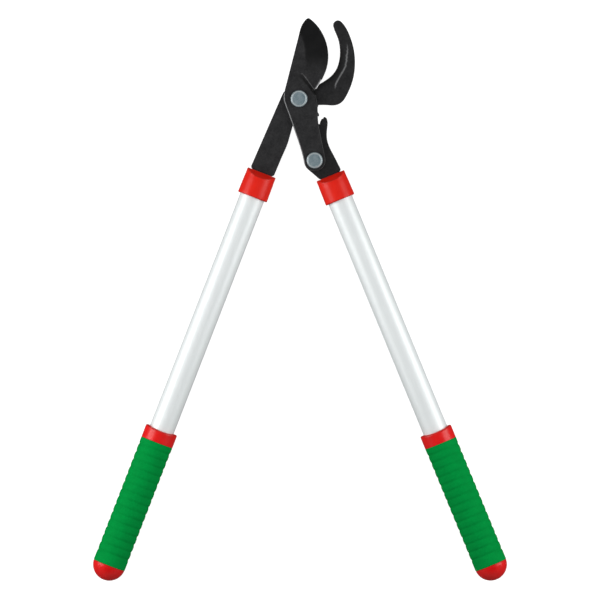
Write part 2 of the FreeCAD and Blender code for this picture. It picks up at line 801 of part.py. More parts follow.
build_hook_jaw()
build_gear_tang()
build_blade()
lower_end = "( tang_middle - plate_thick / 2 - sliding_gap - washer_thick - lower_nut_height - shank_end )"
build_bolt("main_pivot_bolt", "main_bolt", "main_head", "0", "0", "0")
build_bolt("lower_pivot_bolt", "lower_bolt", "lower_head", lower_end, "lower_x", "lower_y")
for place, at_x, at_y in (("main", "0", "0"), ("lower", "lower_x", "lower_y")):
    build_bush(f"{place}_pivot_bush", f"{place}_bolt", at_x, at_y)
    build_washer(f"{place}_pivot_washer", f"{place}_bolt", f"{place}_washer", at_x, at_y)
    build_nut(f"{place}_pivot_nut", f"{place}_bolt", f"{place}_nut_flats", f"{place}_nut_height", at_x, at_y)
for hand in ("left", "right"):
    build_ferrule(hand)
    build_tube(hand)
    build_tang_core(hand)
    build_tang_pin(hand)
    build_grip_core(hand)
    build_grip_sleeve(hand)
    build_end_cap(hand)
check_document()
write_parts()
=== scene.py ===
import json
import math

import bmesh
import bpy
import numpy as np
from mathutils import Matrix, Vector
from mathutils.geometry import delaunay_2d_cdt


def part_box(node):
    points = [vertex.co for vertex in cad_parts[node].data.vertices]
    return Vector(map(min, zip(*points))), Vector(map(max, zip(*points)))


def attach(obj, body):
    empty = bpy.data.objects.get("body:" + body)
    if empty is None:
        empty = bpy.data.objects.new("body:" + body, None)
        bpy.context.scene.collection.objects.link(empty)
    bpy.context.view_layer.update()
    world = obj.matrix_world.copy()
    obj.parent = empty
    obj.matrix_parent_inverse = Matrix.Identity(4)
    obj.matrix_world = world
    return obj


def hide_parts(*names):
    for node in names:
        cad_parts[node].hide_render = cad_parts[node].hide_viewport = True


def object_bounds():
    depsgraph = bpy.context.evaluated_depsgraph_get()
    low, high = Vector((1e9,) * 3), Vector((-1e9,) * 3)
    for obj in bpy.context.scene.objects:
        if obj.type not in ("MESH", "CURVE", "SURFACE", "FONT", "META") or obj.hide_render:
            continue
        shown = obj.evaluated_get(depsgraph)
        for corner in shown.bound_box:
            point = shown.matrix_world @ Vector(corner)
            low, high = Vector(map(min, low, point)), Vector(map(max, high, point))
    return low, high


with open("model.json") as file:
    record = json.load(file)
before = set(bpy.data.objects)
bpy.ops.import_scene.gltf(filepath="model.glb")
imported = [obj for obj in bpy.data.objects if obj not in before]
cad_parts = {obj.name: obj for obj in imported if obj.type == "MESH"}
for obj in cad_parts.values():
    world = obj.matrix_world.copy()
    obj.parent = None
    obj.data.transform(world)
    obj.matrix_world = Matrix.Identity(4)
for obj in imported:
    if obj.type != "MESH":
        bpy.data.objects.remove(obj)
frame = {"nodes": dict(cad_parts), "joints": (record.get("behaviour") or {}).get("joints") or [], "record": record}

# Geared bypass loppers lying on a pale floor. Shapes are worked out in millimetres and made in metres.
# The plates are rebuilt from the CAD model's own cross-sections, with rounded edges and ground faces.
# The turned and moulded pieces are lofts of rings round the axis of their handle or pivot.

CAD_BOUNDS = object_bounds()
NODES = frame["nodes"]
MM = 0.001
STEP = 0.9              # even step along a plate's outline
MARK_START = 0.1        # depth at which an edge's rubbing and painted highlight start to fade
BUSH_WALL = 1.5         # wall of the pivot bushes
TUBE_WALL = 1.5
FIT = 0.02              # play of the pieces on and in a tube


# ---- places taken from the CAD model

def joint_place(name):
    """The axis of a joint in the plane of the bench, in mm."""
    joint = next(joint for joint in frame["joints"] if joint["name"] == name)
    return np.array(joint["pos_m"][:2]) / MM


def level(node):
    """Lowest and highest z of a CAD node, in mm."""
    low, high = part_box(node)
    return low.z / MM, high.z / MM


class Handle:
    """One handle's axis: x runs across it, y up out of the bench and z down the handle."""

    def __init__(self, side):
        self.side = side
        mounts = {mount["name"]: mount for mount in frame["record"]["mounts"]}
        grip = Vector(mounts[side + "_grip"]["pos_m"])
        clip = Vector(mounts[side + "_tube_clip"]["pos_m"])
        down = (grip - clip).normalized()
        up = Vector((0, 0, 1))
        across = up.cross(down)
        turn = Matrix((across, up, down)).transposed().to_4x4()
        self.matrix = Matrix.Translation(clip) @ turn
        top = self.span("ferrule")[0]
        self.matrix = Matrix.Translation(clip + down * top * MM) @ turn
        self.bore = self.span("tube")[2] + FIT

    def span(self, part):
        """Where a CAD node starts and ends along the handle, and its greatest radius, in mm."""
        back = self.matrix.inverted()
        mesh = NODES[f"{self.side}_{part}"].data
        points = np.array([back @ vertex.co for vertex in mesh.vertices]) / MM
        return points[:, 2].min(), points[:, 2].max(), np.hypot(points[:, 0], points[:, 1]).max()


# ---- meshes

def finish_mesh(name, vertices, faces, body, node, materials, matrix=None, wear_and_painted_light=0.0,
                sharp=38, ground_and_shade=None):
    """Make the piece: it rides on its body, replaces its CAD node and takes its finish.

    Points are given in the piece's own frame, which the material's textures follow. Edges that
    turn by more than the sharp angle stay hard. The marks of rubbing and painted light, and of
    finish and painted shade, are one value for each point."""
    own = np.asarray(vertices) * MM
    placed = own if matrix is None else own @ np.array(matrix.to_3x3()).T + np.array(matrix.translation)
    mesh = bpy.data.meshes.new(name)
    mesh.from_pydata([tuple(vertex) for vertex in placed], [], faces)
    layer = mesh.attributes.new("own_place", "FLOAT_VECTOR", "POINT")
    layer.data.foreach_set("vector", own.astype(np.float32).ravel())
    for mark, values in (("wear_and_painted_light", wear_and_painted_light), ("ground_and_shade", ground_and_shade)):
        if values is not None:
            layer = mesh.attributes.new(mark, "FLOAT", "POINT")
            layer.data.foreach_set("value", np.asarray(values, np.float32))
    work = bmesh.new()
    work.from_mesh(mesh)
    bmesh.ops.recalc_face_normals(work, faces=work.faces)
    work.to_mesh(mesh)
    work.free()
    mesh.shade_smooth()
    mesh.set_sharp_from_angle(angle=math.radians(sharp))
    piece = bpy.data.objects.new(name, mesh)
    bpy.context.scene.collection.objects.link(piece)
    for material in materials:
        mesh.materials.append(material)
    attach(piece, body)
    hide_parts(node)
    return piece


def smooth(value, low, high):
    """0 below low, 1 above high, and an even S between."""
    share = np.clip((value - low) / (high - low), 0, 1)
    return share * share * (3 - 2 * share)


# ---- plates

def section(node, height):
    """Closed loops in mm where a level plane cuts a CAD node, the largest first."""
    work = bmesh.new()
    work.from_mesh(NODES[node].data)
    bmesh.ops.remove_doubles(work, verts=work.verts, dist=1e-6)
    everything = work.verts[:] + work.edges[:] + work.faces[:]
    bmesh.ops.bisect_plane(work, geom=everything, dist=1e-7, plane_co=(0, 0, height * MM),
                           plane_no=(0, 0, 1), clear_inner=True, clear_outer=True)
    bmesh.ops.remove_doubles(work, verts=work.verts, dist=1e-6)
    work.edges.ensure_lookup_table()
    waiting = {edge.index: edge for edge in work.edges}
    loops = []
    while waiting:
        edge = waiting.pop(min(waiting))
        start, vertex = edge.verts
        loop = [start.co.xy / MM]
        while vertex is not start:
            loop.append(vertex.co.xy / MM)
            edge = next(edge for edge in vertex.link_edges if edge.index in waiting)
            waiting.pop(edge.index)
            vertex = edge.other_vert(vertex)
        loops.append(np.array(loop))
    work.free()
    loops.sort(key=lambda loop: -abs(area(loop)))
    # material lies to the left of every loop: the outer one runs anticlockwise, holes clockwise
    return [loop if (area(loop) > 0) == (index == 0) else loop[::-1] for index, loop in enumerate(loops)]


def area(loop):
    """Area inside a loop, positive if it runs anticlockwise."""
    x, y = loop[:, 0], loop[:, 1]
    return 0.5 * np.sum(x * np.roll(y, -1) - y * np.roll(x, -1))


def on_curve(t, first, second, leave, arrive):
    """A place on the smooth curve between two points with given slopes at both."""
    return ((2 * t**3 - 3 * t**2 + 1) * first + (3 * t**2 - 2 * t**3) * second
            + (t**3 - 2 * t**2 + t) * leave + (t**3 - t**2) * arrive)


def even_loop(loop, step, corner=22.0, straight=3.0):
    """The loop with its smooth runs drawn as true curves, at an even step.

    Turns of more than the corner angle stay, and so do lines longer than the straight length."""
    ahead = np.roll(loop, -1, 0) - loop
    length = np.hypot(*ahead.T)
    loop, ahead, length = loop[length > 1e-4], ahead[length > 1e-4], length[length > 1e-4]
    heading = ahead / length[:, None]
    last, before = np.roll(heading, 1, 0), np.roll(length, 1)
    turn = np.degrees(np.arccos(np.clip(np.sum(last * heading, 1), -1, 1)))
    mixed = (last * length[:, None] + heading * before[:, None]) / (length + before)[:, None]
    from_line = (before > straight) & (before > 4 * length)
    to_line = (length > straight) & (length > 4 * before)
    mixed = np.where(from_line[:, None], last, np.where(to_line[:, None], heading, mixed))
    leave = np.where((turn > corner)[:, None], heading, mixed)
    arrive = np.roll(np.where((turn > corner)[:, None], last, mixed), -1, 0)
    points = []
    for index in range(len(loop)):
        count = max(1, math.ceil(length[index] / step - 0.2))
        ends = loop[index], loop[(index + 1) % len(loop)]
        slopes = length[index] * leave[index], length[index] * arrive[index]
        points += [on_curve(part / count, *ends, *slopes) for part in range(count)]
    return np.array(points)


def left_of(ways):
    """Unit vectors to the left of some directions."""
    return np.stack([-ways[:, 1], ways[:, 0]], 1) / np.hypot(*ways.T)[:, None]


def inset(loop, depth):
    """The loop moved into the material by a depth, which may differ from point to point."""
    normal = left_of(np.roll(loop, -1, 0) - loop)
    before = np.roll(normal, 1, 0)
    miter = (normal + before) / np.maximum(1 + np.sum(normal * before, 1), 0.3)[:, None]
    return loop + miter * np.reshape(depth, (-1, 1))


def nearest(points, starts, ends):
    """Distance from each point to the nearest of some segments, which segment, and how far along it."""
    run = ends - starts
    size = np.sum(run * run, 1)
    best = np.empty((3, len(points)))
    for low in range(0, len(points), 2000):
        some = points[low:low + 2000, None, :]
        along = np.clip(np.sum((some - starts) * run, 2) / size, 0, 1)
        gap = some - (starts + along[..., None] * run)
        far = np.sum(gap * gap, 2)
        which = np.argmin(far, 1)
        rows = np.arange(len(which))
        best[:, low:low + 2000] = np.sqrt(far[rows, which]), which, along[rows, which]
    return best


def to_loops(points, loops):
    """Distance from each point to the nearest loop."""
    starts = np.concatenate(loops)
    ends = np.concatenate([np.roll(loop, -1, 0) for loop in loops])
    return nearest(points, starts, ends)[0]


def to_line(points, line):
    """Signed distance to an open polyline, positive on its left, and the share of its length."""
    line = np.asarray(line, float)
    run = line[1:] - line[:-1]
    lengths = np.hypot(*run.T)
    gap, which, along = nearest(points, line[:-1], line[1:])
    which = which.astype(int)
    away = points - line[which]
    side = np.sign(run[which, 0] * away[:, 1] - run[which, 1] * away[:, 0])
    share = (np.concatenate([[0], np.cumsum(lengths)])[which] + along * lengths[which]) / lengths.sum()
    return gap * np.where(side == 0, 1, side), share


def inside(points, loops):
    """Even-odd test of points against all loops together."""
    found = np.zeros(len(points), bool)
    for loop in loops:
        nexts = np.roll(loop, -1, 0)
        for low in range(0, len(points), 4000):
            x, y = points[low:low + 4000, 0:1], points[low:low + 4000, 1:2]
            across = (loop[:, 1] > y) != (nexts[:, 1] > y)
            rise = np.where(nexts[:, 1] == loop[:, 1], 1e-12, nexts[:, 1] - loop[:, 1])
            reach = loop[:, 0] + (y - loop[:, 1]) * (nexts[:, 0] - loop[:, 0]) / rise
            found[low:low + 4000] ^= (np.sum(across & (x < reach), 1) % 2).astype(bool)
    return found


def curve_through(places, step):
    """A smooth open line through some places, at an even step."""
    places = np.asarray(places, float)
    slopes = np.gradient(places, axis=0)
    points = []
    for index in range(len(places) - 1):
        ends = places[index:index + 2]
        count = max(2, math.ceil(np.hypot(*(ends[1] - ends[0])) / step))
        points += [on_curve(part / count, *ends, *slopes[index:index + 2]) for part in range(count)]
    return np.array(points + [places[-1]])


def plan_mesh(loops, rim, lines, pitch):
    """Triangles that fill a plan, with rows that follow its rim and its feature lines."""
    beside = 0.25
    outline = [even_loop(loop, STEP) for loop in loops]
    points, edges = [], []

    def add(chain, closed, keep):
        base = sum(map(len, points))
        points.append(chain[keep])
        number = np.cumsum(keep) - 1 + base
        for index in range(len(chain) if closed else len(chain) - 1):
            other = (index + 1) % len(chain)
            if keep[index] and keep[other]:
                edges.append((int(number[index]), int(number[other])))

    for loop in outline:
        add(loop, True, np.ones(len(loop), bool))
    rows = [1 - math.cos(math.radians(angle)) for angle in (22, 42, 60, 76, 90)] + [1.5, 2.4]
    for row in rows:
        for loop in outline:
            depth = rim(loop) * row
            chain = inset(loop, depth)
            keep = to_loops(chain, outline) > 0.93 * depth
            keep &= inside(chain, outline)
            add(chain, True, keep)
    for line in lines:
        for shift in (0, beside, -beside):
            chain = inset_line(line, shift)
            keep = inside(chain, outline)
            keep[keep] = to_loops(chain[keep], outline) > 2 * beside
            add(chain, False, keep)
    low, high = outline[0].min(0), outline[0].max(0)
    grid = [(x + (row % 2) * pitch / 2, y)
            for row, y in enumerate(np.arange(low[1], high[1], pitch * 0.87))
            for x in np.arange(low[0], high[0], pitch)]
    grid = np.array(grid)
    grid = grid[inside(grid, outline)]
    clear = to_loops(grid, outline) > rows[-1] * rim(grid) + 0.4 * pitch
    for line in lines:
        clear &= np.abs(to_line(grid, line)[0]) > beside + 0.35 * pitch
    flat = np.concatenate(points + [grid[clear]])
    found = delaunay_2d_cdt([Vector(point) for point in flat], edges, [], 0, 1e-4, False)
    flat = np.array([tuple(point) for point in found[0]])
    faces = np.array([tuple(face) for face in found[2]])
    faces = faces[inside(flat[faces].mean(1), outline)]
    used = np.unique(faces)
    number = np.full(len(flat), -1)
    number[used] = np.arange(len(used))
    return flat[used], number[faces], outline


def inset_line(line, shift):
    """An open line moved to its left."""
    return line + shift * left_of(np.gradient(line, axis=0))


def rounding(depth, radius):
    """How far an edge's rounding drops below the face, at a depth in from the outline."""
    share = np.clip(depth / radius, 0, 1)
    return radius * (1 - np.sqrt(np.clip(1 - (1 - share) ** 2, 0, 1)))


def plate(name, node, height, body, rim, top, bottom, wear_and_painted_light, lines=(), pitch=2.2, ground_and_shade=None):
    """A forged plate from its CAD node's section at a height.

    rim, top, bottom, wear and ground give the edge's radius, the faces' heights and the marks
    from places in the plan and their depth in from the outline."""
    flat, faces, outline = plan_mesh(section(node, height), rim, lines, pitch)
    depth = to_loops(flat, outline)
    upper, lower = top(flat, depth), bottom(flat, depth)
    count = len(flat)
    vertices = np.concatenate([np.column_stack([flat, lower]), np.column_stack([flat, upper])])
    used = {}
    for face in faces:
        for first, second in zip(face, np.roll(face, -1)):
            used.setdefault((min(first, second), max(first, second)), []).append((first, second))
    walls = [(a, b, b + count, a + count) for ways in used.values() if len(ways) == 1 for a, b in ways]
    solid = [tuple(face[::-1]) for face in faces] + [tuple(face + count) for face in faces] + walls
    solid = [tuple(int(index) for index in face) for face in solid]
    marks = np.concatenate([wear_and_painted_light(flat, depth, False), wear_and_painted_light(flat, depth, True)])
    fine = np.zeros(2 * count)
    # painted shade and smoother finish, on the upper face only
    if ground_and_shade is not None:
        fine[count:] = ground_and_shade(flat, depth)
    return finish_mesh(name, vertices, solid, body, node, [COATED_STEEL], wear_and_painted_light=marks,
                       ground_and_shade=fine)


# ---- lofts

def directions(count):
    return np.arange(count) * 2 * math.pi / count


def ring(radius, height, count):
    """Points of one ring; radius and height are numbers or one value for each direction."""
    angle = directions(count)
    radius = np.broadcast_to(radius, (count,))
    height = np.broadcast_to(height, (count,))
    return np.column_stack([radius * np.cos(angle), radius * np.sin(angle), height])


def profile_rings(profile, count):
    """Rings from (radius, height) points; a point on the axis stays a single point."""
    return [ring(radius, height, count) if radius > 1e-6 else np.array([[0, 0, height]])
            for radius, height in profile]


def skin(rings, closed):
    """Faces between rings in turn; a ring of one point closes an end."""
    starts = np.concatenate([[0], np.cumsum([len(ring) for ring in rings])])
    pairs = list(zip(range(len(rings) - 1), range(1, len(rings))))
    if closed:
        pairs.append((len(rings) - 1, 0))
    faces = []
    for low, high in pairs:
        a, b = int(starts[low]), int(starts[high])
        count = max(len(rings[low]), len(rings[high]))
        for index in range(count):
            other = (index + 1) % count
            if len(rings[low]) == 1:
                faces.append((a, b + other, b + index))
            elif len(rings[high]) == 1:
                faces.append((a + index, a + other, b))
            else:
                faces.append((a + index, a + other, b + other, b + index))
    return np.concatenate(rings), faces


def arc(radius_centre, height_centre, radius, start, end, steps=4):
    """Profile points (radius, height) of an edge rounding, from one angle to another."""
    angles = np.radians(np.linspace(start, end, steps + 1))
    return [(radius_centre + radius * math.cos(angle), height_centre + radius * math.sin(angle))
            for angle in angles]


def lofted(name, node, body, materials, matrix, rings, marks, closed=True, sharp=38):
    """A piece from rings in turn, with one mark of rubbing and painted light for each ring."""
    vertices, faces = skin(rings, closed)
    wear_and_painted_light = np.concatenate([np.full(len(one), mark, float) for one, mark in zip(rings, marks)])
    return finish_mesh(name, vertices, faces, body, node, materials, matrix, wear_and_painted_light, sharp)


# ---- materials

class Shader:
    """A small node-tree writer round one Principled BSDF."""

    def __init__(self, name, own_place=True, **settings):
        self.material = bpy.data.materials.new(name)
        self.material.use_nodes = True
        self.tree = self.material.node_tree
        self.bsdf = self.tree.nodes["Principled BSDF"]
        for socket, value in settings.items():
            self.bsdf.inputs[socket.replace("_", " ")].default_value = value
        if own_place:
            self.place = self.node("ShaderNodeAttribute", attribute_name="own_place").outputs["Vector"]
        else:
            self.place = self.node("ShaderNodeTexCoord").outputs["Object"]

    def link(self, source, target):
        """Join a node's output to an input, or give the input a fixed value."""
        if isinstance(source, bpy.types.NodeSocket):
            self.tree.links.new(source, target)
        else:
            target.default_value = source

    def node(self, kind, inputs=None, **settings):
        """A new node; inputs are links or values by the name of the socket."""
        node = self.tree.nodes.new(kind)
        for key, value in settings.items():
            setattr(node, key, value)
        for socket, source in (inputs or {}).items():
            self.link(source, node.inputs[socket])
        return node

    def stretch(self, x, y, z):
        """The place on the piece, scaled along its own axes."""
        inputs = {"Vector": self.place, "Scale": (x, y, z)}
        return self.node("ShaderNodeMapping", inputs).outputs["Vector"]

    def noise(self, size, detail=3.0, rough=0.55, place=None, distortion=0.0):
        """Noise whose grain is about size millimetres."""
        inputs = {"Vector": place or self.place, "Scale": 1 / (size * MM), "Detail": detail,
                  "Roughness": rough, "Distortion": distortion}
        return self.node("ShaderNodeTexNoise", inputs).outputs["Fac"]

    def cells(self, size, feature="F1"):
        """Distance to the middle of cells about size millimetres wide."""
        inputs = {"Vector": self.place, "Scale": 1 / (size * MM)}
        return self.node("ShaderNodeTexVoronoi", inputs, feature=feature).outputs["Distance"]

    def math(self, operation, first, second):
        inputs = {0: first, 1: second}
        return self.node("ShaderNodeMath", inputs, operation=operation).outputs["Value"]

    def times(self, first, second):
        return self.math("MULTIPLY", first, second)

    def spread(self, source, low, high, to_low=0.0, to_high=1.0):
        """Map a range of a value onto another, held at the ends."""
        inputs = {"Value": source, "From Min": low, "From Max": high, "To Min": to_low,
                  "To Max": to_high}
        return self.node("ShaderNodeMapRange", inputs).outputs["Result"]

    def vary(self, noise, to_low=0.0, to_high=1.0):
        """Map the range that a noise mostly stays in onto another."""
        return self.spread(noise, 0.3, 0.7, to_low, to_high)

    def blend(self, share, first, second):
        """A colour between two colours, each a link or a fixed one."""
        node = self.node("ShaderNodeMix", {"Factor": share}, data_type="RGBA")
        for colour, target in ((first, node.inputs["A"]), (second, node.inputs["B"])):
            self.link((*colour, 1) if isinstance(colour, tuple) else colour, target)
        return node.outputs["Result"]

    def mark(self, name):
        """A mark of the mesh: the mark of rubbing and painted light, where 1 is rubbed and painted lighter and 1.7
        is bare metal, and which paints shade on plastic and a highlight on rubber; or the mark of smoother finish
        and painted shade.
        """
        return self.node("ShaderNodeAttribute", attribute_name=name).outputs["Fac"]

    def bumps(self, *layers):
        """Bumps on top of each other, each a height, a strength and a depth in millimetres."""
        under = {}
        for height, strength, depth in layers:
            inputs = {"Strength": strength, "Distance": depth * MM, "Height": height, **under}
            normal = self.node("ShaderNodeBump", inputs).outputs["Normal"]
            under = {"Normal": normal}
        return normal

    def finish(self, colour=None, rough=None, normal=None, metal=None):
        for source, name in ((colour, "Base Color"), (rough, "Roughness"), (normal, "Normal"),
                             (metal, "Metallic")):
            if source is not None:
                self.link(source, self.bsdf.inputs[name])
        return self.material


def coated_steel():
    """Black non-stick coat over forged steel: scale pattern, mottling and fine grain.

    Faces with the shade-and-finish mark are smoother and painted blacker, partly for their finish and partly as
    painted shade; edges are lighter, partly rubbed coat and partly painted highlight, and the cutting edge is
    bare."""
    shader = Shader("coated_steel", Specular_IOR_Level=0.21)
    cloud = shader.noise(13, 3, 0.6)
    grain = shader.noise(0.8, 4, 0.65)
    scale = shader.noise(4.5, 3, 0.7, distortion=0.5)
    mottle = shader.noise(2.4, 3, 0.75, distortion=0.3)
    pits = shader.cells(1.9, feature="SMOOTH_F1")
    finish_and_shade = shader.mark("ground_and_shade")
    colour = shader.blend(shader.spread(cloud, 0.35, 0.7), (0.0135, 0.0136, 0.0146),
                          (0.0215, 0.0215, 0.0226))
    colour = shader.blend(shader.spread(grain, 0.45, 0.75, 0, 0.6), colour, (0.036, 0.036, 0.0365))
    colour = shader.blend(shader.spread(scale, 0.55, 0.75, 0, 0.6), colour, (0.009, 0.009, 0.0095))
    colour = shader.blend(shader.spread(mottle, 0.52, 0.68, 0, 0.55), colour, (0.007, 0.007, 0.0073))
    colour = shader.blend(shader.spread(mottle, 0.47, 0.33, 0, 0.5), colour, (0.034, 0.034, 0.0355))
    # painted shade: the shade-and-finish mark blackens the colour
    colour = shader.blend(shader.times(finish_and_shade, 0.85), colour, (0.0035, 0.0035, 0.0036))
    patches = shader.spread(shader.noise(2.6, 4, 0.6), 0.3, 0.62, 0.65, 1)
    mark = shader.mark("wear_and_painted_light")
    worn_and_highlight = shader.spread(shader.times(mark, patches), 0.2, 0.95)
    bare = shader.spread(mark, 1.3, 1.7)
    # painted highlight: marked edges and lines are lightened, partly as rubbed coat
    colour = shader.blend(worn_and_highlight, colour, (0.27, 0.27, 0.275))
    colour = shader.blend(bare, colour, (0.86, 0.86, 0.87))
    rough = shader.math("ADD", shader.vary(grain, 0.42, 0.54), shader.vary(cloud, -0.03, 0.05))
    rough = shader.math("SUBTRACT", rough, shader.times(worn_and_highlight, 0.12))
    rough = shader.math("SUBTRACT", rough, shader.times(finish_and_shade, 0.10))
    forged = shader.math("SUBTRACT", 1.0, shader.times(finish_and_shade, 0.7))
    normal = shader.bumps((shader.times(scale, forged), 0.30, 0.25), (pits, 0.18, 0.10),
                          (grain, 0.30, 0.05))
    metal = shader.times(shader.spread(worn_and_highlight, 0.2, 1, 0, 0.7), shader.spread(bare, 0, 1, 1, 0.45))
    return shader.finish(colour, rough, normal, metal)


def zinc_steel():
    """Zinc plate with a blue-grey cast: fine mottling, turning marks and brighter edges, partly rubbed and partly
    painted highlight.
    """
    shader = Shader("zinc_steel", Specular_IOR_Level=0.5)
    mottle = shader.noise(3.4, 3, 0.7, distortion=0.8)
    spangle = shader.cells(2.1)
    turning = shader.node("ShaderNodeTexWave",
                          {"Vector": shader.place, "Scale": 620, "Distortion": 0.8, "Detail": 2},
                          wave_type="RINGS", rings_direction="Z", wave_profile="SIN")
    colour = shader.blend(shader.vary(mottle), (0.09, 0.15, 0.17), (0.31, 0.40, 0.42))
    colour = shader.blend(shader.spread(spangle, 0.15, 0.6, 0, 0.45), colour, (0.27, 0.32, 0.37))
    # painted highlight: marked edges and the bolt's top ring are painted lighter, partly as rubbed zinc
    colour = shader.blend(shader.mark("wear_and_painted_light"), colour, (0.47, 0.52, 0.53))
    rough = shader.math("SUBTRACT", shader.vary(mottle, 0.50, 0.34),
                        shader.times(shader.mark("wear_and_painted_light"), 0.06))
    normal = shader.bumps((turning.outputs["Fac"], 0.12, 0.03), (mottle, 0.2, 0.04))
    return shader.finish(colour, rough, normal, 0.45)


def moulded_red(name, dark, light, gloss, rough):
    """Glossy moulded plastic: slight flow marks, fine orange peel and painted shade along the edges."""
    shader = Shader(name, Specular_IOR_Level=gloss)
    flow = shader.noise(9, 2, 0.5, shader.stretch(1, 1, 0.35), 0.4)
    peel = shader.noise(0.55, 3, 0.5)
    colour = shader.blend(shader.vary(flow), dark, light)
    # painted shade: marked edges and mouths are darkened towards a dark red-brown
    painted_edge_shade = shader.times(shader.mark("wear_and_painted_light"), shader.spread(peel, 0.35, 0.65, 0.4, 0.9))
    colour = shader.blend(painted_edge_shade, colour, (0.30, 0.016, 0.009))
    rough = shader.vary(shader.noise(3.5, 3, 0.6), rough, rough + 0.09)
    normal = shader.bumps((flow, 0.12, 0.12), (peel, 0.16, 0.035))
    return shader.finish(colour, rough, normal)


def grip_green():
    """Soft matte rubber: pebbled skin, uneven tone and crests painted lighter as a highlight."""
    shader = Shader("grip_green", Specular_IOR_Level=0.02)
    tone = shader.noise(11, 3, 0.55)
    pebble = shader.cells(0.85, feature="SMOOTH_F1")
    grain = shader.noise(0.35, 2, 0.5)
    colour = shader.blend(shader.vary(tone), (0.0002, 0.225, 0.038), (0.0003, 0.262, 0.044))
    colour = shader.blend(shader.spread(pebble, 0.1, 0.7, 0, 0.35), colour, (0.0002, 0.19, 0.034))
    # painted highlight: the crests of the ripples and the sleeve's ends are painted lighter
    colour = shader.blend(shader.times(shader.mark("wear_and_painted_light"), 0.3), colour, (0.0008, 0.28, 0.050))
    rough = shader.vary(grain, 0.62, 0.80)
    normal = shader.bumps((pebble, 0.35, 0.10), (grain, 0.25, 0.03))
    return shader.finish(colour, rough, normal)


def tube_aluminium():
    """Satin drawn aluminium: fine streaks along the tube and a few light rub marks round it."""
    shader = Shader("tube_aluminium", Specular_IOR_Level=0.5)
    streaks = shader.noise(0.5, 3, 0.6, shader.stretch(1, 1, 0.008))
    bands = shader.noise(3, 2, 0.5, shader.stretch(1, 1, 0.03))
    haze = shader.noise(40, 3, 0.6)
    colour = shader.blend(shader.vary(streaks), (0.745, 0.785, 0.785), (0.80, 0.835, 0.835))
    colour = shader.blend(shader.spread(haze, 0.35, 0.7, 0, 0.5), colour, (0.78, 0.82, 0.82))
    rough = shader.math("ADD", shader.vary(streaks, 0.42, 0.52), shader.vary(bands, -0.03, 0.04))
    normal = shader.bumps((streaks, 0.10, 0.015))
    return shader.finish(colour, rough, normal, 0.2)


def bearing_bronze():
    """Oiled sintered bronze with dark pores."""
    shader = Shader("bearing_bronze", own_place=False)
    pores = shader.cells(0.4)
    tone = shader.noise(3, 3, 0.6)
    colour = shader.blend(shader.vary(tone), (0.42, 0.22, 0.08), (0.55, 0.31, 0.12))
    colour = shader.blend(shader.spread(pores, 0.0, 0.25, 0.7, 0), colour, (0.10, 0.06, 0.03))
    rough = shader.vary(tone, 0.35, 0.5)
    return shader.finish(colour, rough, shader.bumps((pores, 0.3, 0.05)), 1.0)


def two_toned(name, grain, tones, rough, bump, metal=0.0, stretch=None, distortion=0.0, **settings):
    """A finish whose tone, roughness and height follow one noise of a grain size in millimetres."""
    shader = Shader(name, **settings)
    place = shader.stretch(*stretch) if stretch else None
    noise = shader.noise(grain, 3, 0.6, place, distortion)
    colour = shader.blend(shader.vary(noise), *tones)
    return shader.finish(colour, shader.vary(noise, *rough), shader.bumps((noise, *bump)), metal)


def bare_steel():
    """Ground steel pin with fine marks round it."""
    return two_toned("bare_steel", 0.3, ((0.38, 0.38, 0.39), (0.52, 0.52, 0.53)), (0.25, 0.4),
                     (0.2, 0.02), 1.0, stretch=(0.05, 0.05, 1), own_place=False)


def inner_plastic():
    """Dark moulded plug with faint flow marks."""
    return two_toned("inner_plastic", 5, ((0.03, 0.03, 0.03), (0.055, 0.055, 0.055)), (0.45, 0.6),
                     (0.15, 0.1), distortion=0.8, own_place=False)


def nylon_ring():
    """Milky locking ring in a nut."""
    return two_toned("nylon_ring", 1.5, ((0.55, 0.56, 0.53), (0.68, 0.69, 0.66)), (0.4, 0.55),
                     (0.2, 0.05), Subsurface_Weight=0.1)


COATED_STEEL = coated_steel()
ZINC_STEEL = zinc_steel()
FERRULE_RED = moulded_red("ferrule_red", (0.65, 0.0085, 0.0020), (0.72, 0.0140, 0.0042), 0.24, 0.31)
GRIP_RED = moulded_red("grip_red", (0.64, 0.0008, 0.0006), (0.72, 0.0022, 0.0015), 0.36, 0.27)
GRIP_GREEN = grip_green()
TUBE_ALUMINIUM = tube_aluminium()
NYLON_RING = nylon_ring()


# ---- the three plates

MAIN = joint_place("blade_pivot")
LOWER = joint_place("handle_pivot")


def flat_plate(name, node, body, ground_and_shade, feature=None, lines=()):
    """A 6 mm plate of even thickness; its gear teeth, close round the main pivot, have finer edges.

    feature gives how far the face is cut down and the painted highlight along its ridge, and the shade-and-finish
    function how smooth the face is and where shade is painted on it."""
    edge, tooth_edge, teeth_reach, rubbed = 0.8, 0.3, 31.0, 0.4
    low, high = level(node)

    def rim(points):
        away = np.hypot(*(points - MAIN).T)
        return tooth_edge + (edge - tooth_edge) * smooth(away, teeth_reach, teeth_reach + 3)

    def top(points, depth):
        drop = feature(points)[0] if feature else 0
        return high - drop - rounding(depth, rim(points))

    def bottom(points, depth):
        return low + rounding(depth, rim(points))

    def wear_and_painted_light(points, depth, upper):
        # edges are lighter, partly rubbed and partly painted highlight; the feature adds a painted highlight along
        # the hook's ridge
        mark = rubbed * (1 - smooth(depth, MARK_START, rim(points) * 1.1))
        if upper and feature:
            mark = np.maximum(mark, feature(points)[1])
        return mark

    return plate(name, node, (low + high) / 2, body, rim, top, bottom, wear_and_painted_light, lines, ground_and_shade=ground_and_shade)


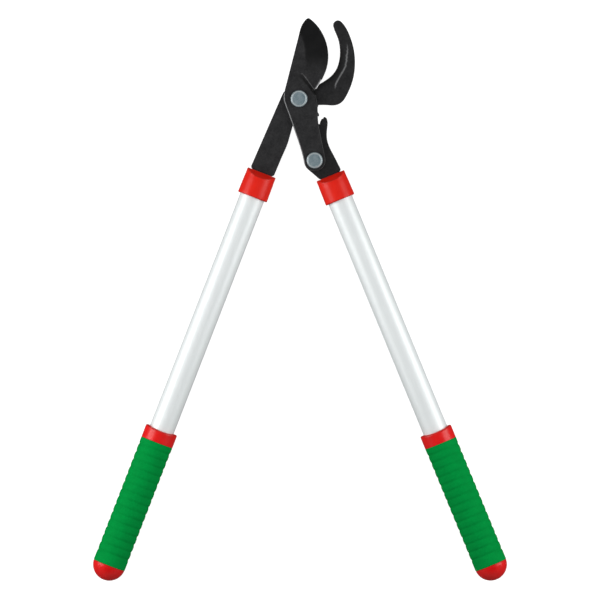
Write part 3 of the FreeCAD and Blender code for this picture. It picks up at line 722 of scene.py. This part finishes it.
def build_hook():
    """Hook jaw with the face inside its ridge cut down by grinding towards the cutting side, painted darker as
    shade, with a painted highlight along the ridge.
    """
    ridge = curve_through([(52.5, 76.0), (56.0, 68.0), (57.1, 59.9), (56.7, 51.8), (54.2, 37.3),
                           (47.1, 24.6), (42.9, 15.2), (43.0, 7.4)], 1.2)
    throat = curve_through([(46.6, 72.0), (48.9, 55.5), (47.1, 40.9), (43.5, 30.9), (37.1, 24.6),
                            (26.7, 19.1), (20.8, 13.2)], 1.5)
    hollow, reach = 1.7, 9.0
    ridge_width, throat_width = 0.42, 6.0
    jaw_shade, inner_shade = 0.28, 0.55

    def feature(points):
        side, share = to_line(points, ridge)
        strength = smooth(share, 0.02, 0.36) * (1 - smooth(share, 0.86, 1.0))
        inner = np.maximum(-side, 0)
        drop = strength * (hollow * (1 - np.exp(-inner / reach)))
        # the second value is a painted highlight line along the ridge
        return drop, strength * np.exp(-(side / ridge_width) ** 2)

    def ground_and_shade(points, depth):
        # painted shade: the hollow inside the ridge, which is also smoother, and the throat are painted darker
        side, share = to_line(points, ridge)
        inner = smooth(share, 0.1, 0.45) * (1 - smooth(share, 0.86, 1.0)) * smooth(-side, 0.0, 1.0)
        away, along = to_line(points, throat)
        shade = np.exp(-(away / throat_width) ** 2) * smooth(along, 0.0, 0.3)
        shade = np.maximum(inner_shade * inner, shade)
        return np.maximum(shade, jaw_shade * smooth(points[:, 0], 16.0, 30.0))

    return flat_plate("hook_jaw_forging", "hook_jaw", "hook_side", ground_and_shade, feature, [ridge])


def build_gear_tang():
    """Right tang with its gear sector, evenly a little blacker than the arm."""
    shade = 0.3

    def ground_and_shade(points, depth):
        return np.full(len(points), shade)

    return flat_plate("gear_tang_forging", "gear_tang", "right_handle", ground_and_shade)


def build_blade():
    """Blade and arm: raised arm, lower spine, and one wide face cut by grinding down to the cutting edge."""
    low, high = level("blade")
    arm = high - low
    spine, land, face_width = arm - 0.8, 0.18, 27.3
    grind = (spine - land) / face_width
    outline = section("blade", low + 0.1)[0]
    heel, tip = np.array([20.9, 12.4]), np.array([12.4, 95.0])
    from_heel = np.argmin(np.hypot(*(outline - heel).T))
    to_tip = np.argmin(np.hypot(*(outline - tip).T))
    edge = np.roll(outline, -from_heel, 0)[:(to_tip - from_heel) % len(outline) + 1]
    edge = even_loop(edge, STEP)[:-1]
    edge = edge[:np.argmin(np.hypot(*(edge - tip).T)) + 1]
    shoulder = np.array([(-24.0, 34.8), (-10.6, 31.7), (4.7, 28.2), (18.5, 9.6), (21.0, 6.2)])
    shoulder_foot = curve_through(shoulder[2:4], 0.8)
    gentle_slope, steep_slope = 4.2, 2.5
    left_side = curve_through([(-18.0, 4.4), (-18.0, -1.2), (-16.3, -7.0), (-12.9, -16.0),
                               (-7.8, -30.2), (-2.8, -44.4), (1.9, -58.5), (6.2, -76.2)], 2.0)
    right_side = curve_through([(18.3, 9.9), (20.9, 4.5), (21.8, -2.0), (22.0, -8.5)], 1.5)
    spine_line = curve_through([(7.0, 31.0), (7.3, 40.0), (7.0, 50.0), (6.2, 59.0), (4.4, 68.0),
                                (1.6, 73.5), (-1.5, 76.5)], 1.0)[::-1]

    def to_edge(points):
        return np.abs(to_line(points, edge)[0])

    def left_edge(points):
        """Strength of the broad bevel along the arm's left edge, widest at the elbow; it also paints a highlight
        along the edge.
        """
        gap, share = to_line(points, left_side)
        return np.exp(-(gap / 2.5) ** 4) * (1 - 0.35 * share)

    def right_edge(points):
        """Strength of the wide bevel beside the shoulder, fading out below the jaw's foot; its outer band is
        painted dark as shadow.
        """
        gap, share = to_line(points, right_side)
        return np.exp(-(gap / 5.0) ** 4) * (1 - smooth(share, 0.55, 1.0))

    def slope(points):
        """The slanting shoulder's width, the signed distance to its foot, and how steep it is."""
        steep = smooth(points[:, 0], 1.0, 7.0)
        width = gentle_slope + (steep_slope - gentle_slope) * steep
        return width, to_line(points, shoulder)[0], steep

    def levels(points):
        """Height of the face above the back, and how far it is raised to the arm's level."""
        width, side, _ = slope(points)
        face = np.minimum(spine, land + grind * to_edge(points))
        raised = 1 - smooth(side, -width, 0.0)
        return face + (arm - face) * raised, raised

    def sharpness(points, raised):
        """1 on the cutting edge, which has no rounding."""
        return np.exp(-(to_edge(points) / 2.5) ** 4) * (1 - raised)

    def rim(points):
        raised = levels(points)[1]
        near = np.exp(-(to_edge(points) / 3.0) ** 2) * (1 - raised)
        wide = 0.55 + 0.45 * raised + 0.9 * left_edge(points) + 1.1 * right_edge(points) * raised
        return wide * (1 - 0.85 * near)

    def top(points, depth):
        height, raised = levels(points)
        radius = np.minimum(rim(points), 0.55 * height)
        return low + height - rounding(depth, radius) * (1 - sharpness(points, raised))

    def bottom(points, depth):
        height, raised = levels(points)
        radius = np.minimum(rim(points), np.minimum(0.5, 0.3 * height))
        return low + rounding(depth, radius) * (1 - sharpness(points, raised))

    def wear_and_painted_light(points, depth, upper):
        """Lighter edges, partly rubbed and partly painted highlight, a painted highlight line inside the right
        bevel, a light line at the shoulder's foot, bare heel.
        """
        _, side, steep = slope(points)
        near_rim = 1 - smooth(depth, MARK_START, rim(points) * 1.1)
        left, right = left_edge(points), right_edge(points)
        # lighter edges, partly rubbed and partly painted highlight, strongest along the left edge
        mark = (0.35 + 0.7 * left) * (1 - 0.8 * right) * near_rim
        # painted highlight line inside the right bevel
        mark = np.maximum(mark, 0.36 * right * np.exp(-((depth - 3.9) / 0.6) ** 2))
        at_heel = 1 - smooth(points[:, 1], 19.5, 23.0)
        bare = 2.0 * (1 - smooth(to_edge(points), 0.05 + 1.15 * at_heel, 0.2 + 1.5 * at_heel))
        foot = (0.26 + 0.50 * steep) * np.exp(-((side - 0.7) / 0.7) ** 2)
        return np.maximum(mark, np.maximum(foot, bare)) if upper else mark

    def ground_and_shade(points, depth):
        """The shoulder's slope, the outer band of the right bevel and the upper face are painted black as shade;
        the upper face is also smoother, and its paint fades out towards the heel.
        """
        width, side, steep = slope(points)
        # painted shade on the shoulder's slope
        within = smooth(side, -width - 0.8, -width - 0.1) * (1 - smooth(side, -0.3, 0.2))
        shade = within * (0.2 + 0.95 * steep)
        # painted shadow along the outer band of the right bevel
        shade = np.maximum(shade, right_edge(points) * (1 - smooth(depth, 1.7, 2.4)))
        # painted shade on the upper face, fading out towards the heel
        face = smooth(to_line(points, spine_line)[0], -0.3, 0.9)
        return np.maximum(shade, face * smooth(points[:, 1], 24.0, 56.0))

    lines = [shoulder_foot, inset_line(shoulder_foot, -steep_slope), spine_line]
    return plate("blade_forging", "blade", low + 0.1, "blade_arm", rim, top, bottom, wear_and_painted_light, lines,
                 ground_and_shade=ground_and_shade)


# ---- pivots

def pivot_matrix(place):
    return Matrix.Translation((place[0] * MM, place[1] * MM, 0))


def bore_radius(which):
    """Radius of the hole in a pivot's bush."""
    return NODES[which + "_pivot_bush"].dimensions.x / MM / 2 - BUSH_WALL


def reach_from(node, place):
    """Greatest distance of a CAD node's points from a pivot's axis."""
    points = np.array([vertex.co.xy for vertex in NODES[node].data.vertices]) / MM
    return np.hypot(*(points - place).T).max()


def turned(name, node, place, profile, marks, closed=False):
    """A turned piece on a pivot's axis from (radius, height) points, and the mark of rubbing and painted highlight
    at each.
    """
    return lofted(name, node, "blade_arm", [ZINC_STEEL], pivot_matrix(place),
                  profile_rings(profile, 96), marks, closed)


def build_bolt(which, place):
    """Flat round head with a bevel, a top ring that is rubbed and painted lighter as a highlight, a shallow dish,
    and a threaded end.
    """
    node = which + "_pivot_bolt"
    low, high = level(node)
    seat = level("blade")[1]
    head = reach_from(node, place)
    shank = bore_radius(which) - 0.05
    pitch, turns, thread_depth = 1.5, 5, 0.75
    profile = [(0, high - 0.42), (head * 0.25, high - 0.42), (head * 0.55, high - 0.38)]
    profile += [(head - 2.6, high - 0.34), (head - 2.15, high - 0.26), (head - 1.8, high - 0.06),
                (head - 1.5, high), (head - 1.05, high - 0.04), (head - 0.7, high - 0.25),
                (head - 0.3, high - 0.85), (head - 0.1, high - 1.45), (head, high - 2.0),
                (head, seat + 0.35), (head - 0.12, seat + 0.1), (head - 0.4, seat)]
    # the top ring's marks paint it lighter as a highlight
    marks = [0, 0, 0, 0, 0.25, 0.9, 1.0, 0.9, 0.35, 0, 0, 0.2, 0.1, 0, 0]
    profile += [(shank, seat), (shank, low + 9.0)]
    marks += [0, 0]
    for turn in range(turns):
        at = low + 8.6 - turn * pitch
        profile += [(shank, at), (shank, at - 0.2), (shank - thread_depth, at - pitch / 2),
                    (shank, at - pitch + 0.2)]
        marks += [0.5, 0.5, 0, 0.5]
    profile += [(shank - 0.9, low + 0.12), (shank - 1.1, low), (0, low)]
    marks += [0.5, 0.3, 0]
    return turned(which + "_bolt_turned", node, place, profile, marks)


def build_washer(which, place):
    """Flat ring with rounded outer edges."""
    node = which + "_pivot_washer"
    low, high = level(node)
    outer = NODES[node].dimensions.x / MM / 2
    inner = bore_radius(which)
    profile = [(inner, low + 0.2), (inner + 0.2, low), (outer - 0.5, low)]
    profile += arc(outer - 0.4, low + 0.4, 0.4, -90, 0)
    profile += arc(outer - 0.25, high - 0.25, 0.25, 0, 90) + [(inner + 0.15, high), (inner, high - 0.15)]
    marks = [0.2, 0.4, 0.2] + [0.8] * 5 + [0.7] * 5 + [0.3, 0.2]
    return turned(which + "_washer_turned", node, place, profile, marks, closed=True)


def build_nut(which, place):
    """Tall hexagon lock nut with chamfered corners, a rolled collar and its locking ring."""
    node = which + "_pivot_nut"
    low, high = level(node)
    corner = reach_from(node, place)
    half = corner * math.cos(math.radians(30))
    bore = bore_radius(which)
    count = 144
    sixth = math.pi / 3
    turn = (directions(count) - math.radians(15) + sixth / 2) % sixth - sixth / 2
    hexagon = np.minimum(half / np.cos(turn), corner - 0.25)
    base = low + (high - low) / 3
    collar = half - 0.4

    def chamfered(height, end):
        """The hexagon cut back by the end's cone."""
        return np.minimum(hexagon, half - 0.35 + abs(height - end) * 1.73)

    steps = [(bore + 0.05 + 0.35 * part, high - 0.35 * (1 - part), 0.2) for part in np.linspace(0, 1, 5)]
    steps += [(chamfered(high - rise, high), high - rise, 0.6 if rise < 1.2 else 0.35)
              for rise in (0, 0.25, 0.5, 0.8, 1.1, 1.5)]
    steps += [(chamfered(base + rise, base), base + rise, 0.6 if rise < 1.1 else 0.35)
              for rise in (1.2, 0.8, 0.5, 0.25, 0)]
    steps += [(collar + 0.25, base - 0.05, 0.1), (collar, base - 0.3, 0), (collar, low + 1.5, 0.2)]
    steps += [(radius, height, 0.7) for radius, height in arc(collar - 1.2, low + 1.4, 1.2, 0, -80, 5)]
    steps += [(collar - 1.7, low + 0.32, 0.5), (collar - 1.9, low + 0.55, 0.1),
              (collar - 2.0, low + 0.75, 0), (bore + 0.35, low + 0.7, 0), (bore + 0.05, low + 0.95, 0),
              (bore + 0.05, low + 3.2, 0)]
    rings = [ring(radius, height, count) for radius, height, _ in steps]
    piece = lofted(which + "_nut_turned", node, "blade_arm", [ZINC_STEEL, NYLON_RING],
                   pivot_matrix(place), rings, [mark for _, _, mark in steps], sharp=30)
    for face in piece.data.polygons:
        away = math.hypot(face.center.x, face.center.y) / MM
        if bore + 0.02 < away < collar - 1.85 and face.center.z < (low + 1.2) * MM:
            face.material_index = 1
    return piece


# ---- handles

def mouth_rings(count, inner, outer, top, start, slope, lip, along):
    """Rings over a collar's mouth, whose front and back slope away from the middle.

    inner is the opening's radius, which may differ with the direction, and slope is the drop at
    the collar's edge. There are 8 rings on the mouth, 5 on its lip and 3 down the side."""
    angle = directions(count)

    def drop(radius):
        rise = np.abs(radius * np.sin(angle)) - start
        rise = 0.5 * (rise + np.sqrt(rise * rise + 0.5)) - 0.5 * (math.hypot(start, 0.7) - start)
        return np.maximum(rise, 0) / (outer - start) * slope

    steps = [(inner + (outer - lip - inner) * share, 0) for share in np.linspace(0, 1, 9)]
    steps += [(outer - lip * (1 - math.sin(turn)), lip * (1 - math.cos(turn)))
              for turn in np.radians([22.5, 45, 67.5, 90])]
    rings = [ring(radius, top + drop(radius) + fall, count) for radius, fall in steps]
    edge = rings[-1][:, 2]
    return rings + [ring(outer, edge + (along - edge) * share, count) for share in (0.25, 0.5, 0.75)]


def handle_piece(handle, name, part, material, rings, marks, closed=True):
    """A loft round the handle's axis that stands for one of its CAD nodes."""
    body = "hook_side" if handle.side == "left" else "right_handle"
    return lofted(f"{handle.side}_{name}", f"{handle.side}_{part}", body, [material],
                  handle.matrix, rings, marks, closed)


def build_ferrule(handle):
    """Collar with a sloped mouth round the tang's slot, widening to a rounded end on the tube."""
    start, end, outer = handle.span("ferrule")
    count = 168
    angle = directions(count)
    tail_half, tail_deep = 9.72, 3.1
    slot = np.minimum(tail_half / np.maximum(np.abs(np.cos(angle)), 1e-6),
                      tail_deep / np.maximum(np.abs(np.sin(angle)), 1e-6))
    bore, floor = handle.bore, handle.span("tube")[0]
    top_radius = outer - 0.5
    rings = [ring(slot, floor - 0.5, count), ring(slot, start + 0.5, count)]
    # these marks paint shade along the mouth's lip and the rounded end
    marks = [0, 0.1]
    rings += mouth_rings(count, slot + 0.3, top_radius, start, 5.0, 6.5, 0.9, start + 9.0)
    marks += [0.1] * 8 + [0.5, 0.75, 0.75, 0.5, 0.2] + [0] * 3
    profile = [(top_radius + (outer - top_radius) * (0.3 + 0.7 * share),
                start + 9.5 + (end - 1.3 - start - 9.5) * share) for share in np.linspace(0, 1, 6)]
    profile += arc(outer - 1.2, end - 1.2, 1.2, 15, 90, 5)
    profile += [(bore + 0.3, end), (bore, end - 0.3), (bore, floor)]
    rings += profile_rings(profile, count)
    marks += [0] * 6 + [0.8] * 6 + [0.3, 0, 0]
    return handle_piece(handle, "ferrule_moulding", "ferrule", FERRULE_RED, rings, marks)


def build_tube(handle):
    """Plain round tube with slightly broken edges."""
    start, end, outer = handle.span("tube")
    profile = []
    for height, way in ((start, 1), (end, -1)):
        inner = outer - TUBE_WALL
        edge = [(inner, height + way * 0.4), (inner + 0.4, height), (outer - 0.4, height),
                (outer - 0.12, height + way * 0.12), (outer, height + way * 0.4)]
        profile += edge[::way]
        if way > 0:
            profile += [(outer, start + (end - start) * share) for share in np.linspace(0.05, 0.95, 19)]
    return handle_piece(handle, "tube_drawn", "tube", TUBE_ALUMINIUM,
                        profile_rings(profile, 144), [0] * len(profile))


def build_grip_core(handle):
    """Collar with a rounded lip and a scooped mouth, and the barrel under the sleeve."""
    start, end, outer = handle.span("grip_core")
    sleeve = handle.span("grip_sleeve")[0]
    bore = handle.bore
    barrel = outer - 2.7
    count = 168
    rings = [ring(bore, start + 3.5, count)]
    rings += mouth_rings(count, bore + 0.45, outer, start, 6.0, 2.4, 1.6, start + 7.0)
    # these marks paint shade along the lip and the rounded edge at the sleeve
    marks = [0] + [0.1] * 8 + [0.6, 0.8, 0.7, 0.4, 0.15] + [0] * 3
    profile = [(outer, height) for height in np.linspace(start + 8.0, sleeve - 0.7, 6)]
    profile += arc(outer - 0.35, sleeve - 0.4, 0.35, 0, 90, 3) + [(barrel, sleeve - 0.05)]
    profile += [(barrel, end - 0.3), (barrel - 0.3, end), (bore, end)]
    rings += profile_rings(profile, count)
    marks += [0] * 6 + [0.5] * 4 + [0] * 4
    return handle_piece(handle, "grip_collar", "grip_core", GRIP_RED, rings, marks)


def build_grip_sleeve(handle):
    """Soft sleeve with fifteen shallow rings, fuller between them."""
    start, end, outer = handle.span("grip_sleeve")
    bore = outer - 2.68
    ripples, first, pitch, depth = 15, 8.5, 9.52, 0.7
    heights = np.linspace(start + 0.5, end - 0.5, 248)
    phase = (heights - start - first) / pitch
    within = (phase > -0.5) & (phase < ripples - 0.5)
    groove = np.where(within, np.cos(math.pi * (phase - np.round(phase))) ** 6, 0)
    profile = [(bore, start), (outer - 0.5, start), (outer - 0.15, start + 0.15)]
    profile += [(outer - depth * dip, height) for height, dip in zip(heights, groove)]
    profile += [(outer - 0.15, end - 0.15), (outer - 0.5, end), (bore, end)]
    # these marks paint the crests lighter as a highlight
    marks = [0, 0.3, 0.5, *(0.6 * (1 - groove) ** 3), 0.5, 0.3, 0]
    return handle_piece(handle, "sleeve_rippled", "grip_sleeve", GRIP_GREEN,
                        profile_rings(profile, 128), marks)


def build_end_cap(handle):
    """Domed cap: plug, rim with a small edge rounding, and a dome that is part of a ball."""
    start, end, outer = handle.span("end_cap")
    rim_height = handle.span("grip_sleeve")[1] + 0.05
    plug = handle.span("tube")[2] - TUBE_WALL - FIT
    middle = end - outer
    first = math.degrees(math.asin((rim_height + 0.5 - middle) / outer))
    profile = [(0, start), (plug - 0.8, start), (plug, start + 0.8), (plug, rim_height - 0.01),
               (outer - 0.75, rim_height), (outer - 0.35, rim_height + 0.08)]
    profile += arc(0, middle, outer, first, 89, 25) + [(0, end)]
    # these marks paint shade along the rim
    marks = [0, 0.1, 0.1, 0, 0.3, 0.7, 0.5] + [0] * 26
    return handle_piece(handle, "cap_domed", "end_cap", GRIP_RED,
                        profile_rings(profile, 128), marks, closed=False)


# ---- build

build_hook()
build_gear_tang()
build_blade()
for which, place in (("main", MAIN), ("lower", LOWER)):
    build_bolt(which, place)
    build_washer(which, place)
    build_nut(which, place)
for side in ("left", "right"):
    handle = Handle(side)
    build_ferrule(handle)
    build_tube(handle)
    build_grip_core(handle)
    build_grip_sleeve(handle)
    build_end_cap(handle)

# pieces that stay as the CAD model has them
for make, nodes in ((bearing_bronze, ("main_pivot_bush", "lower_pivot_bush")),
                    (inner_plastic, ("left_tang_core", "right_tang_core")),
                    (bare_steel, ("left_tang_pin", "right_tang_pin"))):
    finish = make()
    for node in nodes:
        NODES[node].data.materials.clear()
        NODES[node].data.materials.append(finish)


# ---- floor, light and camera

def build_floor():
    """Pale board, lit from below like a light table, so that shadows on it stay faint."""
    half, gap = 4.0, 0.0002
    corners = [(-half, -half, 0), (half, -half, 0), (half, half, 0), (-half, half, 0)]
    mesh = bpy.data.meshes.new("floor")
    mesh.from_pydata(corners, [], [(0, 1, 2, 3)])
    floor = bpy.data.objects.new("floor", mesh)
    floor.location.z = CAD_BOUNDS[0].z - gap
    floor.visible_diffuse = floor.visible_glossy = floor.visible_shadow = False
    bpy.context.scene.collection.objects.link(floor)
    shader = Shader("floor_board", own_place=False, Roughness=0.9, Specular_IOR_Level=0.1,
                    Emission_Color=(1, 1, 1, 1), Emission_Strength=0.86)
    tone = shader.noise(60, 3, 0.5)
    mesh.materials.append(shader.finish(shader.blend(tone, (0.44, 0.44, 0.44), (0.47, 0.47, 0.47))))


def softbox(name, place, target, size, brightness, mirrored=True):
    """A rectangular light of even brightness, hidden from the camera.

    One that isn't mirrored lights the pieces without a highlight of its own."""
    light = bpy.data.lights.new(name, "AREA")
    light.shape = "RECTANGLE"
    light.size, light.size_y = size
    light.energy = brightness * math.pi * size[0] * size[1]
    lamp = bpy.data.objects.new(name, light)
    lamp.location = place
    lamp.rotation_euler = (Vector(target) - Vector(place)).to_track_quat("-Z", "Y").to_euler()
    lamp.visible_camera = False
    lamp.visible_glossy = mirrored
    bpy.context.scene.collection.objects.link(lamp)


def build_light():
    """Two softboxes low at the sides, the left one stronger, and a wide diffuse one overhead."""
    centre = (CAD_BOUNDS[0] + CAD_BOUNDS[1]) / 2
    side_reach, side_height, side_shift, side_size = 1.0, 0.52, 0.13, (0.95, 0.75)
    top_height, top_size = 1.3, (1.6, 1.6)
    for name, way, brightness in (("left_softbox", -1, 4.7), ("right_softbox", 1, 3.8)):
        place = (centre.x + way * side_reach, centre.y + side_shift, side_height)
        softbox(name, place, (centre.x + way * 0.1, place[1], 0.0), side_size, brightness)
    softbox("top_softbox", (centre.x, centre.y, top_height), (centre.x, centre.y, 0.0), top_size,
            0.68, mirrored=False)
    world = bpy.data.worlds.new("studio")
    bpy.context.scene.world = world
    world.use_nodes = True
    tree = world.node_tree
    split = tree.nodes.new("ShaderNodeSeparateXYZ")
    tree.links.new(tree.nodes.new("ShaderNodeTexCoord").outputs["Generated"], split.inputs["Vector"])
    shift = tree.nodes.new("ShaderNodeMapRange")
    shift.inputs["From Min"].default_value = -1
    tree.links.new(split.outputs["Z"], shift.inputs["Value"])
    ramp = tree.nodes.new("ShaderNodeValToRGB")
    tree.links.new(shift.outputs["Result"], ramp.inputs["Fac"])
    # brightness from straight below to straight above
    stops = ((0.0, 0.10), (0.35, 0.18), (0.5, 0.40), (0.7, 0.45), (0.9, 0.14), (1.0, 0.10))
    for index, (place, value) in enumerate(stops):
        stop = ramp.color_ramp.elements[index] if index < 2 else ramp.color_ramp.elements.new(place)
        stop.position = place
        stop.color = (value, value, value, 1)
    tree.links.new(ramp.outputs["Color"], tree.nodes["Background"].inputs["Color"])


def build_camera():
    """Straight down from far away, framed 708 mm wide in the plane of the handles."""
    distance, frame_width, sensor = 8.0, 0.70818, 36.0
    plane = sum(level("hook_jaw")) / 2 * MM
    camera = bpy.data.cameras.new("camera")
    camera.sensor_width = sensor
    camera.lens = sensor * distance / frame_width
    camera.clip_end = 50
    view = bpy.data.objects.new("camera", camera)
    view.location = (0.00118, -0.23736, plane + distance)
    bpy.context.scene.collection.objects.link(view)
    bpy.context.scene.camera = view


build_floor()
build_light()
build_camera()
bpy.context.scene.view_settings.view_transform = "Standard"
